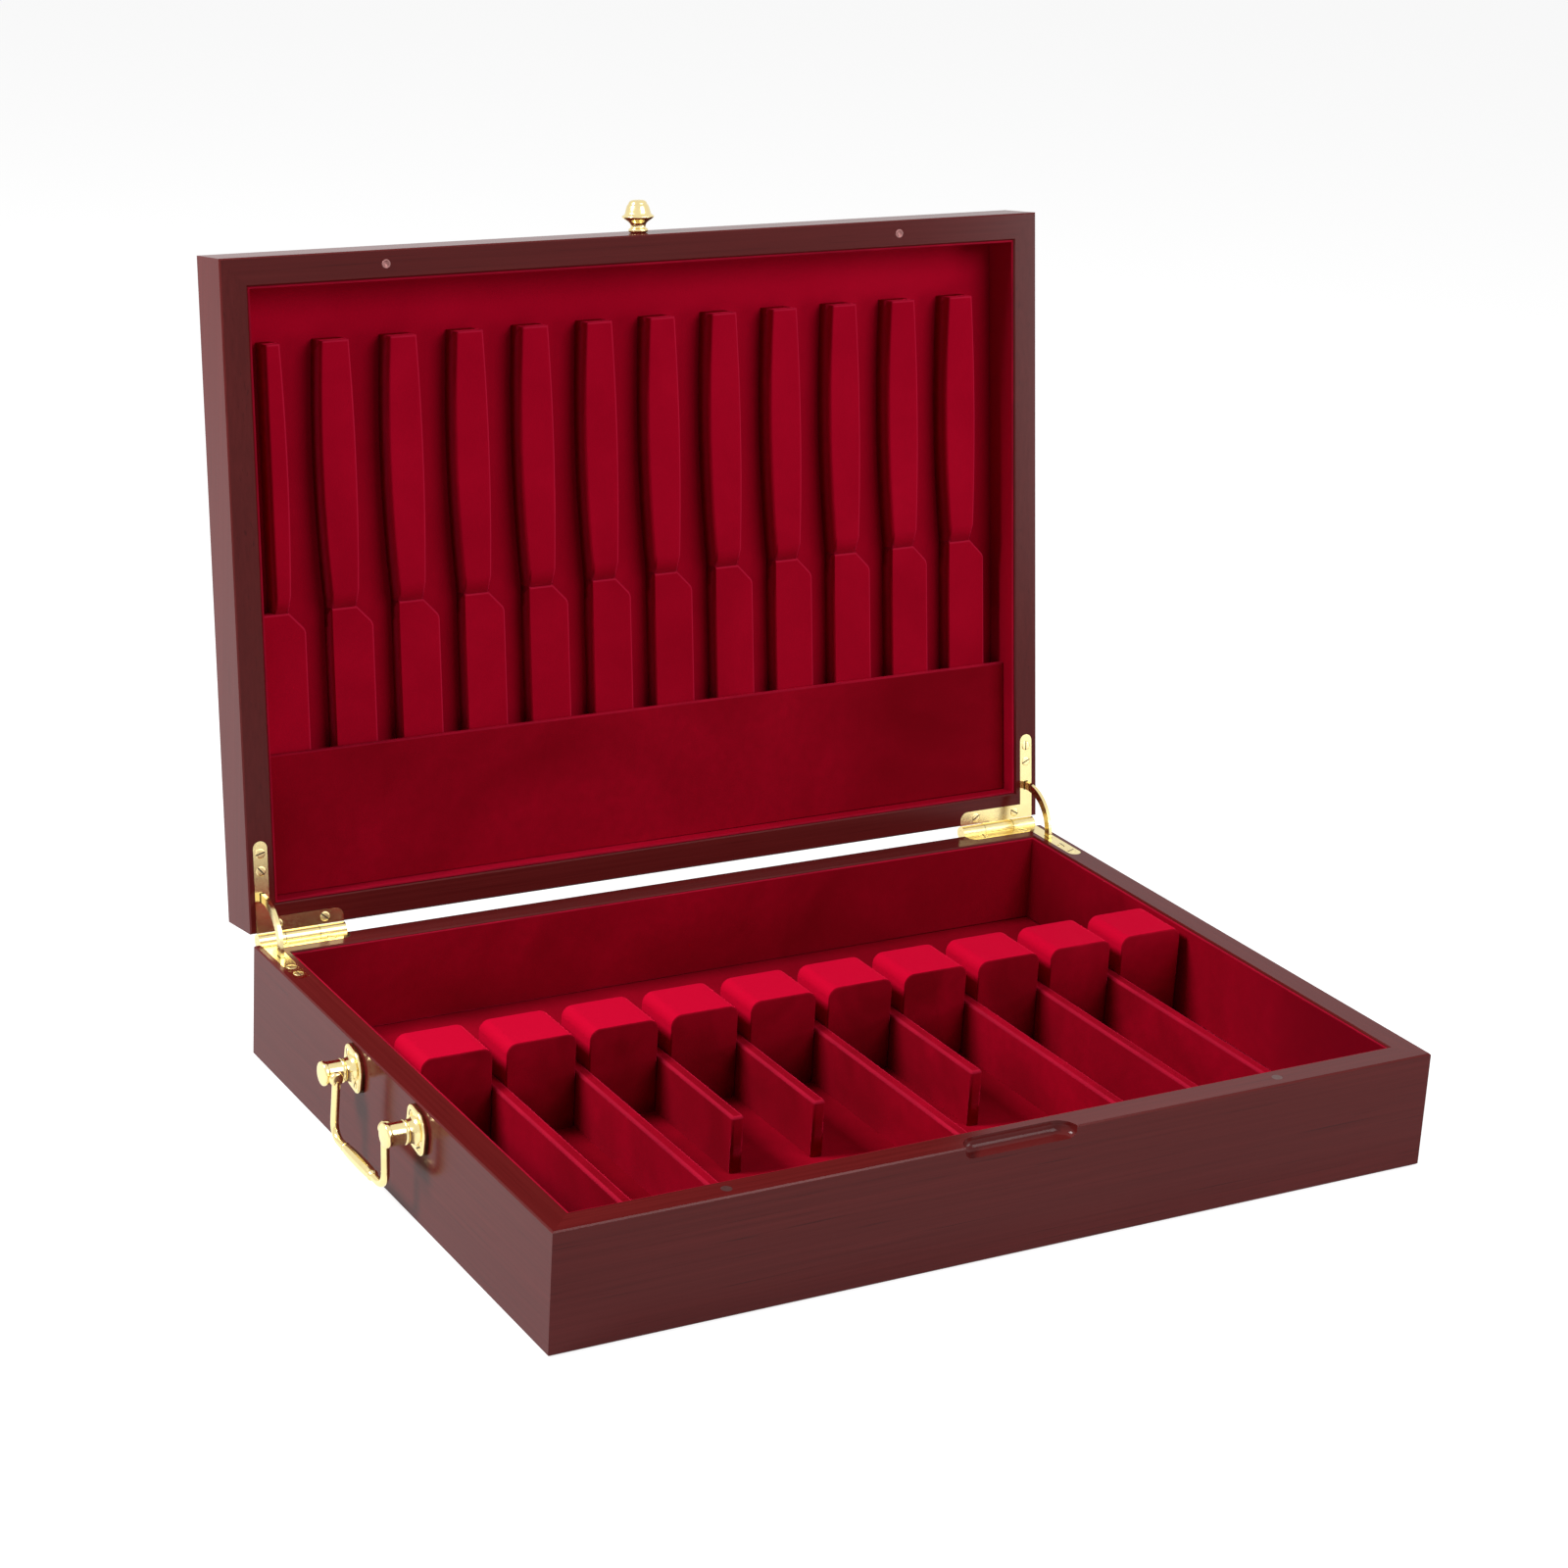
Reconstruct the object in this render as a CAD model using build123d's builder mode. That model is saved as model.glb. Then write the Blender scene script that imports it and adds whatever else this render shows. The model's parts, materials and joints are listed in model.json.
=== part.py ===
from build123d import *
import os
from math import asin, cos, degrees, radians, sin

# A hinged wooden chest for table silver. The base holds ten padded blocks with thin dividers
# between them, the lid holds a knife rack with a pocket for the blades, and two stop hinges
# with sliding quadrant stays hold the lid open. A bail handle hangs on the left side only.
# The chest stands at rest with its lid open.
# Millimetres, +X to the right, +Y to the back, +Z up, origin at the middle of the underside.

# ---- the box ----
chest_width = 400
chest_depth = 285
base_height = 51
lid_height = 26
wall = 12
rim_bevel = 0.6
felt_thickness = 1
felt_margin = 4
bottom_thickness = 6.5
top_thickness = 5
rabbet = 6
panel_clearance = 0.2
lining = 1.5
lining_drop = 0.6
floor_thickness = 3
finger_width = 51
finger_reach = 7.5
finger_depth = 5
finger_cove = 3.5

# ---- stop hinges ----
lid_open_angle = 98
hinge_offset = 3.3
rim_gap = 0.3
leaf_margin = 2.8
leaf_length = 40
leaf_reach = 40
leaf_arm = 6.4
leaf_thickness = 1.6
leaf_corner = 4
leaf_clearance = 0.1
barrel_diameter = 6.2
end_knuckle = 12
knuckle_gap = 0.25
pin_diameter = 2.6
pin_clearance = 0.05
stay_radius = 18.7
stay_width = 3.6
stay_thickness = 1.6
stay_clearance = 0.35
stop_diameter = 3.8
stop_length = 3.4
stop_gap = 0.15

# ---- lid catch ----
magnet_spacing = 252
magnet_inset = 6
magnet_diameter = 4
magnet_depth = 4
magnet_proud = 0.2
catch_diameter = 4.4
catch_depth = 3

# ---- lid knob ----
knob_collar = 8.8
knob_neck = 6.8
knob_flare = 15
knob_crown = 8
knob_length = 14.4
knob_collar_height = 1.8
knob_neck_end = 4.6
knob_flare_height = 6.8
knob_rim = 1
knob_stud_diameter = 3
knob_stud_length = 8

# ---- bail handle ----
handle_height = 41
handle_shift = 2
post_spacing = 61
rosette_radius = 6.3
rosette_lobe = 2.8
rosette_lobe_offset = 7.2
rosette_turn = 40
rosette_thickness = 1.8
post_diameter = 8.2
cap_diameter = 9.6
cap_thickness = 2.1
cap_gap = 0.3
bail_standoff = 11.6
bail_wire = 3
bail_pin = 2.6
bail_pin_clearance = 0.05
bail_drop = 23.4
bail_arm_gap = 0.3
bail_bend = 4
bend_cuts = 3
bail_eye = 1.7
grip_length = 29
grip_diameter = 5

# ---- padded blocks and dividers in the base ----
block_count = 10
block_gap = 6
block_front = 149.7
block_depth = 26.8
block_height = 41.5
block_shoulder = 4.6
divider_clearance = 0.3
divider_height = 24.5
divider_round = 1.8
short_divider_front = 87
short_divider_numbers = (3, 4, 6)

# ---- knife rack in the lid ----
knife_count = 12
blade_width = 19.1
blade_height = 9
blade_side_margin = 3
handle_rise = 2.5
handle_gap = 23.5
handle_length = 124
shoulder_corner = 1.6
shoulder_length = 10
step_left = 9.4
step_right = 2.1
bulge_setback = 58
bulge_left = 12
bulge_right = 3.6
end_left = 10.2
end_right = 2.2
ridge_bevel = 0.9
pocket_reach = 74.5
pocket_thickness = 2.5
pocket_margin = 1.6
pocket_round = 0.9

# ---- levels, insides and frames worked out from the sizes above ----
floor_level = felt_thickness + bottom_thickness + floor_thickness
inner_width = chest_width - 2 * wall
inner_depth = chest_depth - 2 * wall
lined_width = inner_width - 2 * lining
lid_floor = lid_height - top_thickness - lining
knuckle_ends = (end_knuckle, leaf_length - end_knuckle)
stay_side = chest_width / 2 - leaf_margin - leaf_arm / 2
stop_drop = rim_gap / 2 + leaf_thickness + stop_gap + stop_diameter / 2
stop_angle = degrees(asin(stop_drop / stay_radius))
pin_allowance = degrees((stop_diameter / 2 + stay_clearance) / stay_radius)
mortise_angle = stop_angle + lid_open_angle / 2 + pin_allowance

BASE = Plane.XY
HINGE = Plane(origin=(0, chest_depth / 2 + hinge_offset, base_height + rim_gap / 2), z_dir=(0, 0, 1))
OPEN_HINGE = Plane(
    origin=HINGE.origin,
    x_dir=(1, 0, 0),
    z_dir=(0, sin(radians(lid_open_angle)), cos(radians(lid_open_angle))),
)
# the lid's own frame has its origin in the middle of the lid's rim and +Z towards the lid's top
LID = Plane(
    origin=OPEN_HINGE.from_local_coords(Vector(0, -hinge_offset - chest_depth / 2, rim_gap / 2)),
    x_dir=OPEN_HINGE.x_dir,
    z_dir=OPEN_HINGE.z_dir,
)
# the knife rack's frame starts at the lined left wall and the hinge edge of the lid's lining,
# with +Y towards the lid's front edge and +Z out of the lid
RACK = Plane(
    origin=LID.from_local_coords(Vector(-lined_width / 2, chest_depth / 2, lid_floor)),
    x_dir=LID.x_dir,
    z_dir=-LID.z_dir,
)

# the handle's frame lies on the left wall between its posts, with +X towards the front, +Y up
# and +Z outwards
HANDLE = Plane(
    origin=(-chest_width / 2, handle_shift, handle_height),
    x_dir=(0, -1, 0),
    z_dir=(-1, 0, 0),
)

SIDES = {
    "front": ((-1, -1), (1, -1)),
    "right": ((1, -1), (1, 1)),
    "back": ((1, 1), (-1, 1)),
    "left": ((-1, 1), (-1, -1)),
}
LEFT = -1
RIGHT = 1
UP = 1
DOWN = -1

os.makedirs("parts", exist_ok=True)


def save(builder, name):
    """Label a finished piece and write it as its own file."""
    builder.part.label = name
    export_step(builder.part, f"parts/{name}.step")


def side_view(frame, x):
    """The plane across the chest at x, where a sketch has (frame Y, frame Z) as its axes."""
    return Plane(origin=frame.from_local_coords(Vector(x, 0, 0)), x_dir=frame.y_dir, z_dir=frame.x_dir)


def axial(plane):
    """The plane through a turned piece's axis: sketch X is its radius, sketch Y runs outwards."""
    return Plane(origin=plane.origin, x_dir=plane.y_dir, z_dir=plane.x_dir)


# ---- shapes that several pieces share ----
def rail(frame, side, low, high):
    """One mitred wall of the base or the lid, with its long edges bevelled."""
    half_width, half_depth = chest_width / 2, chest_depth / 2
    start, end = SIDES[side]
    outer = [(sx * half_width, sy * half_depth) for sx, sy in (start, end)]
    inner = [(sx * (half_width - wall), sy * (half_depth - wall)) for sx, sy in (end, start)]
    run = frame.x_dir if side in ("front", "back") else frame.y_dir
    with BuildPart() as board:
        with BuildSketch(frame.offset(low)):
            with BuildLine():
                Polyline(*outer, *inner, close=True)
            make_face()
        extrude(amount=high - low)
        chamfer(board.edges().filter_by(Axis(frame.origin, run)), rim_bevel)
    return board.part


def panel_blank(frame, low, thickness, clearance):
    """The board that drops into the rabbets of four walls, or with no clearance its seat."""
    size = (chest_width - 2 * (wall - rabbet), chest_depth - 2 * (wall - rabbet))
    with BuildPart() as blank:
        with BuildSketch(frame.offset(low)):
            Rectangle(size[0] - 2 * clearance, size[1] - 2 * clearance)
        extrude(amount=thickness)
    return blank.part


def wall_lining(frame, low, high):
    """The velvet-covered card that runs round the inside of four walls."""
    with BuildPart() as band:
        with BuildSketch(frame.offset(low)):
            Rectangle(inner_width, inner_depth)
            Rectangle(inner_width - 2 * lining, inner_depth - 2 * lining, mode=Mode.SUBTRACT)
        extrude(amount=high - low)
    return band.part


# ---- the stop hinge: leaves, their seats in the wood, and the quadrant stay ----
def leaf_plan(hinge, side, way, clearance=0):
    """The L-shaped plan of a leaf on its rim, one arm on the side wall and one on the back."""
    outer_edge = chest_width / 2 - leaf_margin
    arm_length = leaf_reach - leaf_arm / 2
    round_end = (side * stay_side, -hinge_offset - arm_length)
    far_corner = (side * (outer_edge - leaf_length), -hinge_offset - leaf_arm)
    with BuildSketch(hinge.offset(way * rim_gap / 2)) as plan:
        with Locations((side * stay_side, -hinge_offset - arm_length / 2)):
            Rectangle(leaf_arm, arm_length)
        with Locations(round_end):
            Circle(leaf_arm / 2)
        with Locations((side * (outer_edge - leaf_length / 2), -hinge_offset - leaf_arm / 2)):
            Rectangle(leaf_length, leaf_arm)
        fillet(plan.vertices().sort_by_distance(far_corner)[0], leaf_corner)
        if clearance:
            offset(amount=clearance)
    return plan.sketch


def knuckle_spans(way):
    """The stretches of the barrel that belong to a leaf, measured from its outer end."""
    if way == UP:
        return [(knuckle_ends[0] + knuckle_gap, knuckle_ends[1] - knuckle_gap)]
    return [(0, knuckle_ends[0]), (knuckle_ends[1], leaf_length)]


def hinge_leaf(hinge, side, way):
    """A leaf with its knuckles and the slot that its stay slides through."""
    outer_edge = chest_width / 2 - leaf_margin
    with BuildPart() as leaf:
        extrude(leaf_plan(hinge, side, way), amount=way * leaf_thickness)
        for start, end in knuckle_spans(way):
            middle = side * (outer_edge - (start + end) / 2)
            with BuildSketch(hinge.offset(way * rim_gap / 2)):
                with Locations((middle, -hinge_offset / 2)):
                    Rectangle(end - start, hinge_offset)
            extrude(amount=way * leaf_thickness)
            with BuildSketch(side_view(hinge, middle)):
                Circle(barrel_diameter / 2)
            extrude(amount=(end - start) / 2, both=True)
        with BuildSketch(side_view(hinge, side * (outer_edge - leaf_length / 2))):
            Circle(pin_diameter / 2 + pin_clearance)
        extrude(amount=leaf_length, both=True, mode=Mode.SUBTRACT)
        with BuildSketch(hinge.offset(way * rim_gap / 2)):
            with Locations((side * stay_side, -stay_radius)):
                Rectangle(stay_thickness + 2 * stay_clearance, stay_width + 2 * stay_clearance)
        extrude(amount=way * leaf_thickness, mode=Mode.SUBTRACT)
    return leaf.part


def hinge_seat(hinge, side, way):
    """What is cut from the wood for a leaf and for the stay that slides behind it."""
    inside = stay_radius - stay_width / 2 - stay_clearance
    outside = stay_radius + stay_width / 2 + stay_clearance
    sweep_angle = -way * mortise_angle
    with BuildPart() as seat:
        extrude(leaf_plan(hinge, side, way, leaf_clearance), amount=way * leaf_thickness)
        with BuildSketch(side_view(hinge, side * stay_side)):
            with BuildLine():
                near = CenterArc((0, 0), inside, 180, sweep_angle)
                far = CenterArc((0, 0), outside, 180, sweep_angle)
                Line(near @ 0, far @ 0)
                Line(near @ 1, far @ 1)
            make_face()
        extrude(amount=stop_length / 2 + stay_clearance, both=True)
    return seat.part


def quadrant_stay(side):
    """The arc that slides through both leaves, with a stop pin across each end."""
    arc_size = -(lid_open_angle + 2 * stop_angle)
    with BuildPart() as stay:
        with BuildSketch(side_view(HINGE, side * stay_side)):
            with BuildLine():
                near = CenterArc((0, 0), stay_radius - stay_width / 2, 180 + stop_angle, arc_size)
                far = CenterArc((0, 0), stay_radius + stay_width / 2, 180 + stop_angle, arc_size)
                Line(near @ 0, far @ 0)
                Line(near @ 1, far @ 1)
            make_face()
        extrude(amount=stay_thickness / 2, both=True)
        with BuildSketch(side_view(HINGE, side * stay_side)):
            with PolarLocations(stay_radius, 2, 180 + stop_angle, arc_size, endpoint=True):
                Circle(stop_diameter / 2)
        extrude(amount=stop_length / 2, both=True)
    return stay


# ---- base walls, bottom and felt ----
bottom_seat = panel_blank(BASE, felt_thickness, bottom_thickness, 0)

with BuildPart() as finger_recess:
    with BuildSketch(BASE.offset(base_height - finger_depth)):
        with Locations((0, -chest_depth / 2)):
            SlotOverall(finger_width, 2 * finger_reach)
    extrude(amount=finger_depth + rim_bevel)
    fillet(finger_recess.faces().sort_by(Axis.Z)[0].edges(), finger_cove)

catch_spots = [(side * magnet_spacing / 2, magnet_inset - chest_depth / 2) for side in (LEFT, RIGHT)]

with BuildPart() as base_front:
    add(rail(BASE, "front", felt_thickness, base_height))
    add(bottom_seat, mode=Mode.SUBTRACT)
    add(finger_recess.part, mode=Mode.SUBTRACT)
    with BuildSketch(BASE.offset(base_height)):
        with Locations(*catch_spots):
            Circle(catch_diameter / 2)
    extrude(amount=-catch_depth, mode=Mode.SUBTRACT)
save(base_front, "base_front")

with BuildPart() as base_back:
    add(rail(BASE, "back", felt_thickness, base_height))
    add(bottom_seat, mode=Mode.SUBTRACT)
    add(hinge_seat(HINGE, LEFT, DOWN), mode=Mode.SUBTRACT)
    add(hinge_seat(HINGE, RIGHT, DOWN), mode=Mode.SUBTRACT)
save(base_back, "base_back")


for side, name in ((LEFT, "left"), (RIGHT, "right")):
    with BuildPart() as base_side:
        add(rail(BASE, name, felt_thickness, base_height))
        add(bottom_seat, mode=Mode.SUBTRACT)
        add(hinge_seat(HINGE, side, DOWN), mode=Mode.SUBTRACT)
    save(base_side, f"base_{name}")

with BuildPart() as base_bottom:
    add(panel_blank(BASE, felt_thickness, bottom_thickness, panel_clearance))
save(base_bottom, "base_bottom_panel")

with BuildPart() as base_felt:
    with BuildSketch(BASE):
        Rectangle(chest_width - 2 * felt_margin, chest_depth - 2 * felt_margin)
    extrude(amount=felt_thickness)
save(base_felt, "base_felt")

with BuildPart() as base_floor:
    with BuildSketch(BASE.offset(floor_level - floor_thickness)):
        Rectangle(inner_width - 2 * panel_clearance, inner_depth - 2 * panel_clearance)
    extrude(amount=floor_thickness)
save(base_floor, "base_floor_lining")

with BuildPart() as base_lining:
    add(wall_lining(BASE, floor_level, base_height - lining_drop))
save(base_lining, "base_wall_lining")

# ---- padded blocks that carry the handles of the silver, and the dividers between them ----
block_pitch = lined_width / block_count
block_width = block_pitch - block_gap
divider_thickness = block_gap - 2 * divider_clearance
block_back = block_front + block_depth

for number in range(1, block_count + 1):
    block_x = (number - (block_count + 1) / 2) * block_pitch
    with BuildPart() as block:
        with BuildSketch(BASE.offset(floor_level)):
            with Locations((block_x, block_front + block_depth / 2 - chest_depth / 2)):
                Rectangle(block_width, block_depth)
        extrude(amount=block_height)
        fillet(block.faces().sort_by(Axis.Z)[-1].edges().filter_by(Axis.Y), block_shoulder)
    save(block, f"block_{number:02d}")

for number in range(1, block_count):
    divider_x = (number - block_count / 2) * block_pitch
    divider_front = short_divider_front if number in short_divider_numbers else wall + lining
    divider_length = block_back - divider_front
    with BuildPart() as divider:
        with BuildSketch(BASE.offset(floor_level)):
            with Locations((divider_x, divider_front + divider_length / 2 - chest_depth / 2)):
                Rectangle(divider_thickness, divider_length)
        extrude(amount=divider_height)
        fillet(divider.faces().sort_by(Axis.Z)[-1].edges().filter_by(Axis.Y), divider_round)
    save(divider, f"divider_{number}")

# ---- lid walls, top and linings ----
top_seat = panel_blank(LID, lid_height - top_thickness, top_thickness, 0)
KNOB = Plane(
    origin=LID.from_local_coords(Vector(0, -chest_depth / 2, lid_height / 2)),
    x_dir=LID.x_dir,
    z_dir=-LID.y_dir,
)

with BuildPart() as lid_front:
    add(rail(LID, "front", 0, lid_height))
    add(top_seat, mode=Mode.SUBTRACT)
    with BuildSketch(LID):
        with Locations(*catch_spots):
            Circle(magnet_diameter / 2)
    extrude(amount=magnet_depth, mode=Mode.SUBTRACT)
    with BuildSketch(KNOB):
        Circle(knob_stud_diameter / 2)
    extrude(amount=-knob_stud_length, mode=Mode.SUBTRACT)
save(lid_front, "lid_front")

with BuildPart() as lid_back:
    add(rail(LID, "back", 0, lid_height))
    add(top_seat, mode=Mode.SUBTRACT)
    add(hinge_seat(OPEN_HINGE, LEFT, UP), mode=Mode.SUBTRACT)
    add(hinge_seat(OPEN_HINGE, RIGHT, UP), mode=Mode.SUBTRACT)
save(lid_back, "lid_back")

for side, name in ((LEFT, "left"), (RIGHT, "right")):
    with BuildPart() as lid_side:
        add(rail(LID, name, 0, lid_height))
        add(top_seat, mode=Mode.SUBTRACT)
        add(hinge_seat(OPEN_HINGE, side, UP), mode=Mode.SUBTRACT)
    save(lid_side, f"lid_{name}")

with BuildPart() as lid_top:
    add(panel_blank(LID, lid_height - top_thickness, top_thickness, panel_clearance))
save(lid_top, "lid_top_panel")

with BuildPart() as lid_panel_lining:
    with BuildSketch(LID.offset(lid_floor)):
        Rectangle(inner_width - 2 * panel_clearance, inner_depth - 2 * panel_clearance)
    extrude(amount=lining)
save(lid_panel_lining, "lid_panel_lining")

with BuildPart() as lid_lining:
    add(wall_lining(LID, lining_drop, lid_floor))
save(lid_lining, "lid_wall_lining")

# ---- knife rack: twelve ridges in the outline of a table knife, one beside each knife's slot ----
knife_pitch = lined_width / knife_count
ridge_foot = wall + lining
ridge_axis = blade_side_margin + blade_width / 2
ridge_left = ridge_axis - blade_width / 2
ridge_right = ridge_axis + blade_width / 2
end_reach = chest_depth - wall - lining - handle_gap
bulge_reach = end_reach - bulge_setback
shoulder_reach = end_reach - handle_length
step_reach = shoulder_reach + shoulder_length
rack_up = Axis(RACK.origin, RACK.z_dir)

with BuildPart() as ridge:
    with BuildSketch(RACK):
        with BuildLine():
            right_edge = Spline(
                (ridge_axis + step_right, step_reach),
                (ridge_axis + bulge_right, bulge_reach),
                (ridge_axis + end_right, end_reach),
            )
            left_edge = Spline(
                (ridge_axis - step_left, step_reach),
                (ridge_axis - bulge_left, bulge_reach),
                (ridge_axis - end_left, end_reach),
            )
            Line(left_edge @ 0, right_edge @ 0)
            Line(left_edge @ 1, right_edge @ 1)
        make_face()
    extrude(amount=blade_height + handle_rise)
    chamfer(ridge.faces().sort_by(rack_up)[-1].edges(), ridge_bevel)
    with BuildSketch(RACK) as blade_outline:
        with BuildLine():
            Polyline(
                (ridge_axis - step_left, step_reach),
                (ridge_left, shoulder_reach),
                (ridge_left, ridge_foot),
                (ridge_right, ridge_foot),
                (ridge_right, shoulder_reach),
                (ridge_axis + step_right, step_reach),
                close=True,
            )
        make_face()
        shoulders = [
            blade_outline.vertices().sort_by_distance((x, shoulder_reach))[0]
            for x in (ridge_left, ridge_right)
        ]
        fillet(shoulders, shoulder_corner)
    extrude(amount=blade_height)

with BuildPart() as knife_ridges:
    with Locations(*[(number * knife_pitch, 0, 0) for number in range(knife_count)]):
        add(ridge.part)
save(knife_ridges, "knife_ridges")

with BuildPart() as knife_pocket:
    with BuildSketch(RACK.offset(blade_height)):
        with Locations((lined_width / 2, (ridge_foot + pocket_reach) / 2)):
            Rectangle(lined_width - 2 * pocket_margin, pocket_reach - ridge_foot)
    extrude(amount=pocket_thickness)
    rack_reach = Axis(RACK.origin, RACK.y_dir)
    fillet(knife_pocket.faces().sort_by(rack_reach)[-1].edges().filter_by(Axis.X), pocket_round)
save(knife_pocket, "knife_pocket")

# ---- hinges ----
for side, name in ((LEFT, "left"), (RIGHT, "right")):
    save(quadrant_stay(side), f"hinge_stay_{name}")
    with BuildPart() as hinge_pin:
        with BuildSketch(side_view(HINGE, side * (chest_width / 2 - leaf_margin - leaf_length / 2))):
            Circle(pin_diameter / 2)
        extrude(amount=leaf_length / 2, both=True)
    save(hinge_pin, f"hinge_pin_{name}")

for hinge, way, name in ((HINGE, DOWN, "base"), (OPEN_HINGE, UP, "lid")):
    with BuildPart() as hinge_leaves:
        for side in (LEFT, RIGHT):
            add(hinge_leaf(hinge, side, way))
    save(hinge_leaves, f"{name}_hinge_leaves")

# ---- magnets in the lid's front rim and the steel catches that they meet ----
with BuildPart() as lid_magnets:
    with BuildSketch(LID.offset(-magnet_proud)):
        with Locations(*catch_spots):
            Circle(magnet_diameter / 2)
    extrude(amount=magnet_depth + magnet_proud)
save(lid_magnets, "lid_magnets")

with BuildPart() as base_catches:
    with BuildSketch(BASE.offset(base_height)):
        with Locations(*catch_spots):
            Circle(catch_diameter / 2)
    extrude(amount=-catch_depth)
save(base_catches, "base_catches")

# ---- turned knob on the lid's front, with its stud screwed into the rail ----
with BuildPart() as lid_knob:
    with BuildSketch(axial(KNOB)):
        with BuildLine():
            Polyline(
                (0, 0),
                (knob_collar / 2, 0),
                (knob_collar / 2, knob_collar_height),
                (knob_neck / 2, knob_collar_height),
                (knob_neck / 2, knob_neck_end),
                (knob_flare / 2, knob_flare_height),
                (knob_flare / 2, knob_flare_height + knob_rim),
                (knob_crown / 2, knob_length),
                (0, knob_length),
                close=True,
            )
        make_face()
    revolve(axis=Axis(KNOB.origin, KNOB.z_dir))
    with BuildSketch(KNOB):
        Circle(knob_stud_diameter / 2)
    extrude(amount=-knob_stud_length)
save(lid_knob, "lid_knob")


# ---- bail handle ----
def handle_post(end):
    """A rosette whose upper lobe turns to the back, with its post bored for the end of the bail."""
    post = HANDLE.shift_origin(HANDLE.from_local_coords(Vector(end * post_spacing / 2, 0, 0)))
    radius, cap_radius = post_diameter / 2, cap_diameter / 2
    cap_start = bail_standoff + bail_wire / 2 + cap_gap
    cap_end = cap_start + cap_thickness
    bore = Plane(
        origin=post.from_local_coords(Vector(0, 0, bail_standoff)),
        x_dir=post.z_dir,
        z_dir=-end * post.x_dir,
    )
    across = rosette_lobe_offset * sin(radians(rosette_turn))
    up = rosette_lobe_offset * cos(radians(rosette_turn))
    with BuildPart() as casting:
        with BuildSketch(post):
            Circle(rosette_radius)
            with Locations((-across, up), (across, -up)):
                Circle(rosette_lobe)
            make_hull()
        extrude(amount=rosette_thickness)
        with BuildSketch(axial(post)):
            with BuildLine():
                Polyline(
                    (0, 0),
                    (radius, 0),
                    (radius, cap_start),
                    (cap_radius, cap_start),
                    (cap_radius, cap_end),
                    (0, cap_end),
                    close=True,
                )
            make_face()
        revolve(axis=Axis(post.origin, post.z_dir))
        with BuildSketch(bore.offset(-bail_pin / 2)):
            Circle(bail_pin / 2 + bail_pin_clearance)
        extrude(amount=bail_pin / 2 + radius, mode=Mode.SUBTRACT)
    return casting.part


with BuildPart() as handle_posts:
    for end in (-1, 1):
        add(handle_post(end))
save(handle_posts, "handle_posts")

bail_arm = post_spacing / 2 - cap_diameter / 2 - bail_arm_gap - bail_wire / 2
bail_pin_end = post_spacing / 2 + bail_pin / 2 - bail_pin_clearance
cut_turn = radians(90 / bend_cuts)
cut_reach = bail_bend / cos(cut_turn / 2)
front_bend = []
for cut in range(bend_cuts):
    turned = (cut + 0.5) * cut_turn
    bend_x = bail_arm - bail_bend + cut_reach * sin(turned)
    bend_y = bail_bend - bail_drop - cut_reach * cos(turned)
    front_bend.append((bend_x, bend_y))
back_bend = [(-x, y) for x, y in reversed(front_bend)]

# the wire is bent in mitred cuts; the grip is a sleeve on its lower run
with BuildPart() as left_bail:
    with BuildLine(HANDLE.offset(bail_standoff)) as wire:
        Polyline((-bail_arm, bail_eye), *back_bend, *front_bend, (bail_arm, bail_eye))
    with BuildSketch(Plane(origin=wire.wire() @ 0, z_dir=wire.wire() % 0)):
        Circle(bail_wire / 2)
    sweep(path=wire.wire(), transition=Transition.RIGHT)
    for end in (-1, 1):
        eye = HANDLE.from_local_coords(Vector(end * bail_arm, 0, bail_standoff))
        with BuildSketch(Plane(origin=eye, z_dir=end * HANDLE.x_dir)):
            Circle(bail_pin / 2)
        extrude(amount=bail_pin_end - bail_arm)
    grip = HANDLE.from_local_coords(Vector(0, -bail_drop, bail_standoff))
    with BuildSketch(Plane(origin=grip, z_dir=HANDLE.x_dir)):
        Circle(grip_diameter / 2)
    extrude(amount=grip_length / 2, both=True)
save(left_bail, "left_bail")
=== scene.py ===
import json
from math import cos, pi, radians, sin

import bmesh
import bpy
from mathutils import Matrix, Vector


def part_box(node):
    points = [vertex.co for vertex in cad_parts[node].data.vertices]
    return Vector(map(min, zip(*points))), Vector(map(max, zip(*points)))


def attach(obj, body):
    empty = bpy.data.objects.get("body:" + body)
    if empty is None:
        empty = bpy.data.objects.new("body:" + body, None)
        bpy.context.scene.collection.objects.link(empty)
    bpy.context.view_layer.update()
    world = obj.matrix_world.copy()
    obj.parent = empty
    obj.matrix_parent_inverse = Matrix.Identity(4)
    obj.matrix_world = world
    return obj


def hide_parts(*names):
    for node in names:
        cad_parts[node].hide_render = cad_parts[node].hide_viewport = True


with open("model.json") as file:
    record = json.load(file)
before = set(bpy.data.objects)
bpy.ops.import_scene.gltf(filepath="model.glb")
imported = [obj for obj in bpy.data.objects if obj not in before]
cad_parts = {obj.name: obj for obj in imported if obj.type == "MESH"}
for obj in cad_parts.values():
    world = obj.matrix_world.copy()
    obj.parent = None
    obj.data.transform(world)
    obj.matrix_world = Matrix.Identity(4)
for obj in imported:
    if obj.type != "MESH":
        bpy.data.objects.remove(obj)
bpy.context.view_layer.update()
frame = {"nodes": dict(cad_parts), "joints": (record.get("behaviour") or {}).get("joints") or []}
nodes = frame["nodes"]


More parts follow.
